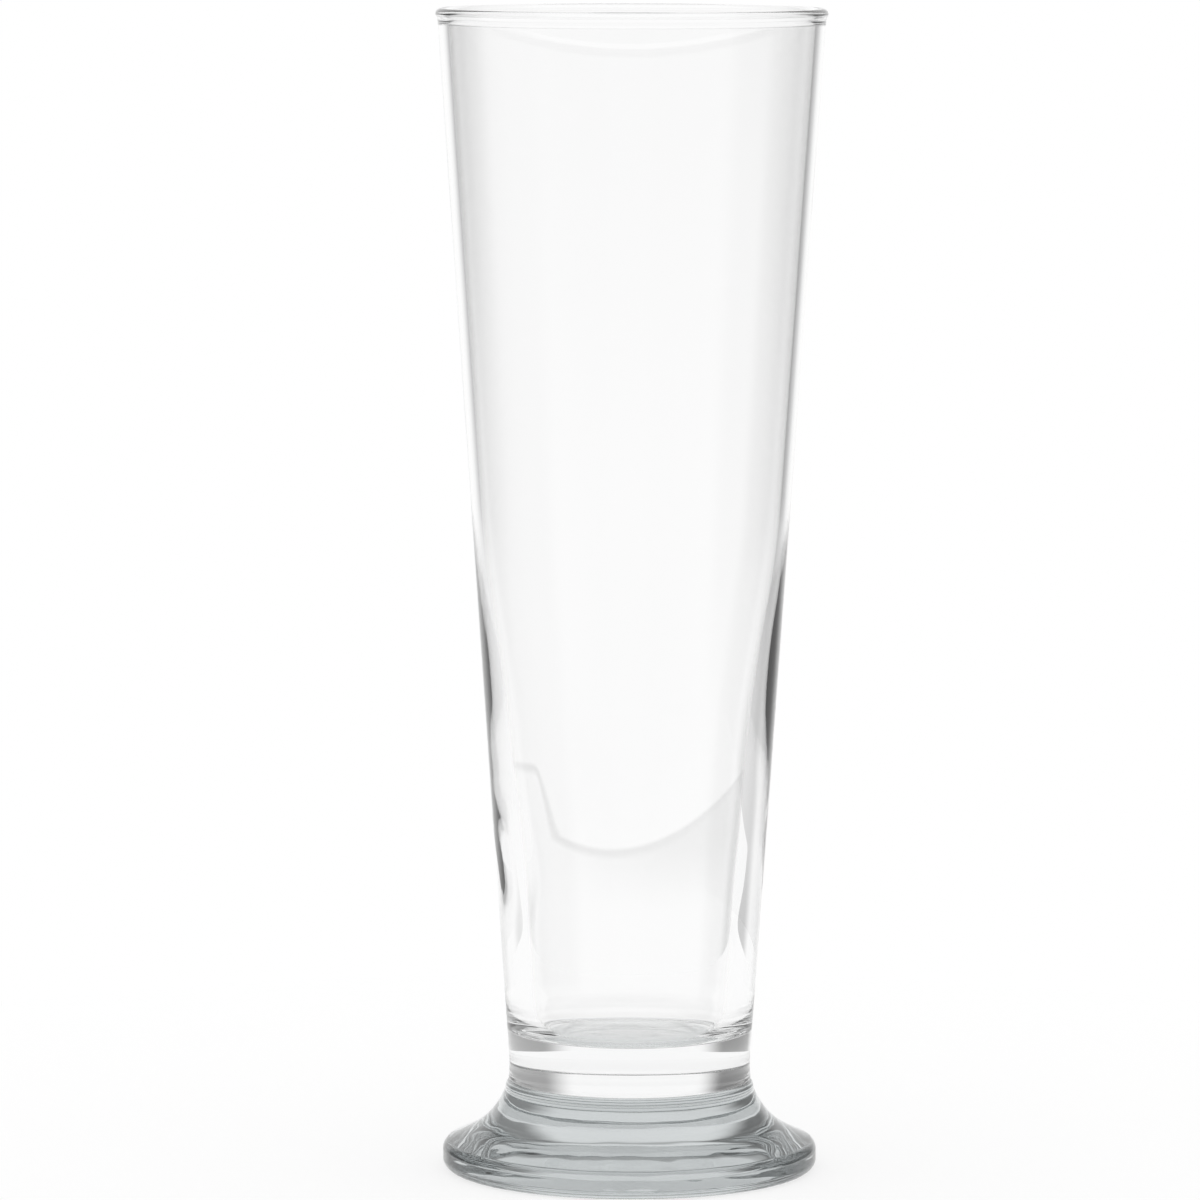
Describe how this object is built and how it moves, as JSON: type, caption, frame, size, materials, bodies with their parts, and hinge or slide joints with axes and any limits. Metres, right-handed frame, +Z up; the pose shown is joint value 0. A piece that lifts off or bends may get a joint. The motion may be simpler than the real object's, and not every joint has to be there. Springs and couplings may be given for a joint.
{
  "type": "pilsner glass",
  "caption": "Tall clear footed pilsner glass: a straight conical bowl with a melted rim and a heavy base, fused to a flared round foot with a rounded lip and a slightly hollow underside.",
  "frame": {"origin": "centre of the flat ring that the glass stands on, at table height", "axes": "+Z up along the axis of the glass, from the foot to the rim; X and Y are level and interchangeable"},
  "size_m": [0.07, 0.07, 0.209],
  "materials": {
    "bowl_glass": "clear, fire polished",
    "foot_glass": "clear, pressed, faintly grey-green in its thickness"
  },
  "bodies": {
    "root": {"bowl": "bowl_glass", "foot": "foot_glass"}
  },
  "joints": []
}
